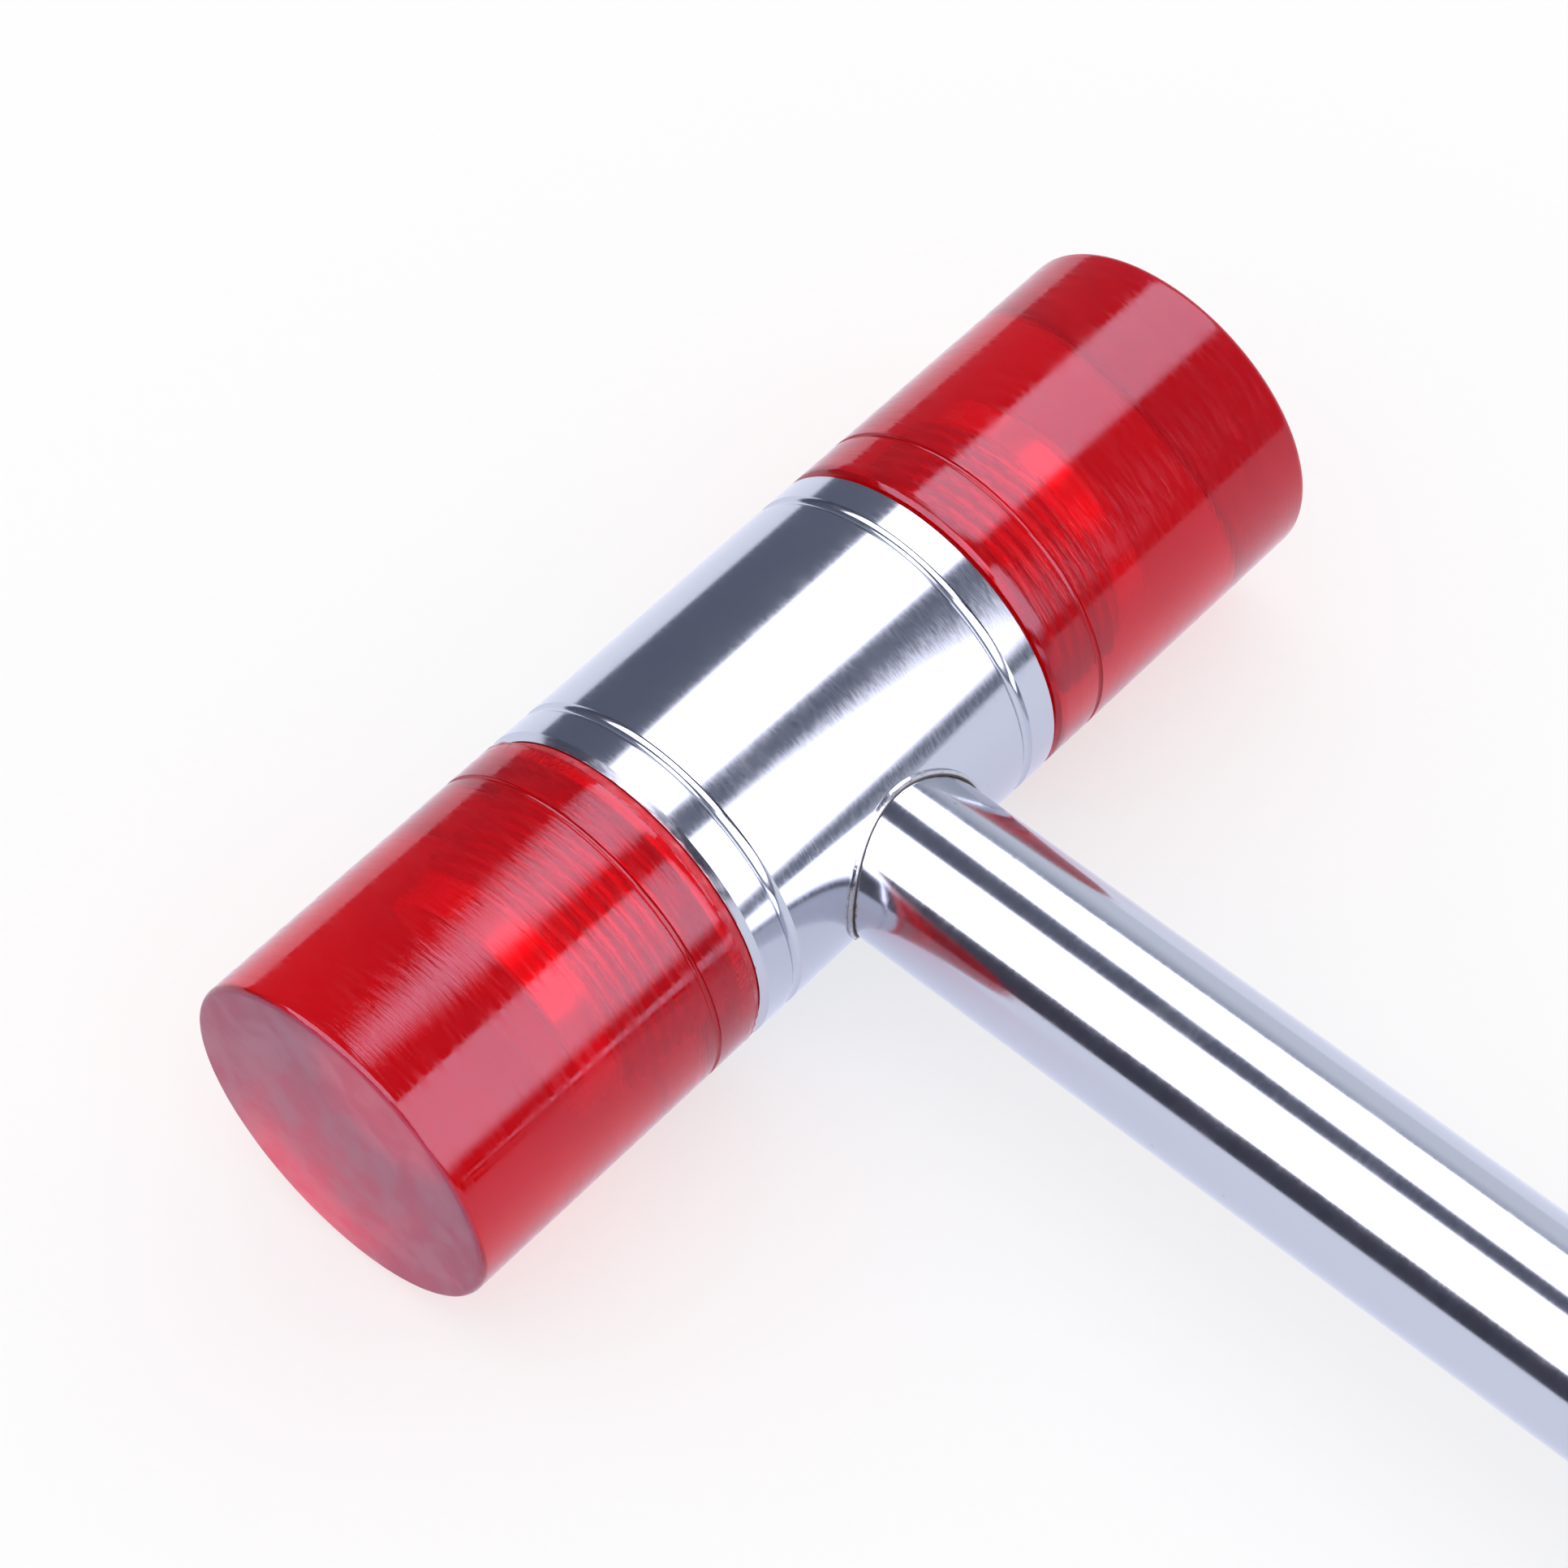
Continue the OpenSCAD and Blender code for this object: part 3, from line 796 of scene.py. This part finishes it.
def stage_sheet(name, corners, material):
    """A flat sheet that belongs to the stage and not to the part."""
    mesh = bpy.data.meshes.new(name)
    mesh.from_pydata(corners, [], [(0, 1, 2, 3)])
    mesh.materials.append(material)
    sheet = bpy.data.objects.new(name, mesh)
    bpy.context.scene.collection.objects.link(sheet)


def with_glow(m, tree, share, under, glow):
    """A stage material's output: a share of glow over another shader, not sampled as a lamp."""
    both = add(tree, "ShaderNodeMixShader", {0: share, 1: under, 2: glow}).outputs[0]
    add(tree, "ShaderNodeOutputMaterial", {"Surface": both})
    m.cycles.emission_sampling = "NONE"
    return m


def floor_material():
    """Pale paint that keeps the shadow, seen partly as white. Mirrors see that a little cool."""
    m, tree = new_material("pale_floor")
    path = add(tree, "ShaderNodeLightPath").outputs
    paint = add(tree, "ShaderNodeBsdfDiffuse", {"Color": FLOOR_PAINT}).outputs[0]
    tone = blend_colour(tree, path["Is Glossy Ray"], WHITE, FLOOR_MIRRORED)
    strength = calc(tree, "MULTIPLY_ADD", path["Is Glossy Ray"], FLOOR_MIRROR_LIFT, 1.0)
    glow = add(tree, "ShaderNodeEmission", {"Color": tone, "Strength": strength}).outputs[0]
    share = 0.0
    for ray, part in FLOOR_GLOW:
        share = calc(tree, "MAXIMUM", share, calc(tree, "MULTIPLY", path[ray], part))
    return with_glow(m, tree, share, paint, glow)


def make_floor():
    """A flat floor, a hair under the hammer."""
    corners = [(x, y, FLOOR_Z) for x, y in rectangle(*FLOOR_EDGES)]
    stage_sheet("floor", corners, floor_material())


def panel_material(name, shape):
    """A soft-edged light panel that only mirrors and clear plastic show. shape gives its mask."""
    m, tree = new_material(name)
    p = axes(tree, object_point(tree, HEAD_CENTRE))
    path = add(tree, "ShaderNodeLightPath").outputs
    mirrored = calc(tree, "MAXIMUM", path["Is Glossy Ray"], path["Is Transmission Ray"])
    inputs = {"Color": PANEL_TONE, "Strength": PANEL_LIGHT}
    glow = add(tree, "ShaderNodeEmission", inputs).outputs[0]
    clear = add(tree, "ShaderNodeBsdfTransparent").outputs[0]
    mask = calc(tree, "MULTIPLY", mirrored, shape(tree, p))
    return with_glow(m, tree, mask, clear, glow)


def make_panels():
    """Two panels overhead and an upright one in front, placed by what the real metal mirrors."""

    def round_panel(tree, p):
        """An oval, cut off aslant at its left."""
        oval_edge, slope, cut_edge = (1.15, 0.68), -2.0, (-0.1, -0.18)
        squares = []
        for axis, middle, half in (("X", 0.36, 0.3), ("Y", 0.11, 0.255)):
            share = calc(tree, "DIVIDE", calc(tree, "SUBTRACT", p[axis], middle), half)
            squares.append(calc(tree, "POWER", share, 2.0))
        oval = ramp(tree, calc(tree, "ADD", *squares), *oval_edge)
        aslant = calc(tree, "MULTIPLY_ADD", p["X"], slope, p["Y"])
        return calc(tree, "MULTIPLY", oval, ramp(tree, aslant, *cut_edge))

    def wide_panel(tree, p):
        across = between(tree, p["X"], low=-0.96, high=-0.085, soft=0.03)
        along = between(tree, p["Y"], low=-0.3, high=0.75, soft=0.05)
        return calc(tree, "MULTIPLY", across, along)

    def front_panel(tree, p):
        lean = -0.17
        leaning = calc(tree, "MULTIPLY_ADD", p["Z"], lean, p["X"])
        across = between(tree, leaning, low=-0.7, high=0.205, soft=0.025)
        upwards = between(tree, p["Z"], low=0.085, high=0.67, soft=0.035)
        return calc(tree, "MULTIPLY", across, upwards)

    def overhead(*edges):
        return [HEAD_CENTRE + Vector((x, y, PANEL_ABOVE)) for x, y in rectangle(*edges)]

    def upright(*edges):
        return [HEAD_CENTRE + Vector((x, PANEL_FRONT, z)) for x, z in rectangle(*edges)]

    for name, corners, shape in (
        ("round_panel", overhead(0.0, 0.72, -0.2, 0.42), round_panel),
        ("wide_panel", overhead(-1.1, -0.04, -0.36, 0.81), wide_panel),
        ("front_panel", upright(-0.75, 0.42, 0.04, 0.72), front_panel),
    ):
        stage_sheet(name, corners, panel_material(name, shape))


def studio_world():
    """A plain soft sky that the camera and clear plastic see white, and a dim room in mirrors."""
    world = bpy.data.worlds.new("studio")
    bpy.context.scene.world = world
    world.use_nodes = True
    tree = world.node_tree
    tree.nodes.clear()
    towards = axes(tree, add(tree, "ShaderNodeTexCoord").outputs["Generated"])
    # The room is darkest at the left and pale at the far right
    rightwards = calc(tree, "MULTIPLY_ADD", towards["X"], 0.5, 0.5)
    room = add(tree, "ShaderNodeValToRGB", {0: rightwards})
    stops = room.color_ramp.elements
    for k, (place, tone) in enumerate(ROOM_TONES):
        stop = stops[k] if k < 2 else stops.new(place)
        stop.position, stop.color = place, tone
    sky = blend_colour(tree, ramp(tree, towards["Z"], *SKY_RISE), SKY_LOW, SKY_HIGH)
    path = add(tree, "ShaderNodeLightPath").outputs
    seen = blend_colour(tree, path["Is Glossy Ray"], sky, room.outputs[0])
    white = calc(tree, "MAXIMUM", path["Is Camera Ray"], path["Is Transmission Ray"])
    seen = blend_colour(tree, white, seen, WHITE)
    glow = add(tree, "ShaderNodeBackground", {"Color": seen, "Strength": 1.0}).outputs[0]
    add(tree, "ShaderNodeOutputWorld", {"Surface": glow})


def make_camera():
    """The photographed view: the lens and place that its outlines fit."""
    data = bpy.data.cameras.new("camera")
    data.sensor_width = CAMERA_SENSOR
    data.lens = CAMERA_LENS
    data.clip_start = CAMERA_CLIP
    camera = bpy.data.objects.new("camera", data)
    back = Vector(CAMERA_BACK).normalized()
    across = Vector(CAMERA_ACROSS)
    across = (across - back * across.dot(back)).normalized()
    up = back.cross(across)
    turn = Matrix((across, up, back)).transposed()
    place = HEAD_CENTRE + Vector(CAMERA_PLACE) * MM
    camera.matrix_world = Matrix.Translation(place) @ turn.to_4x4()
    bpy.context.scene.collection.objects.link(camera)
    bpy.context.scene.camera = camera


make_floor()
make_panels()
studio_world()
make_camera()
bpy.context.scene.view_settings.view_transform = "Standard"
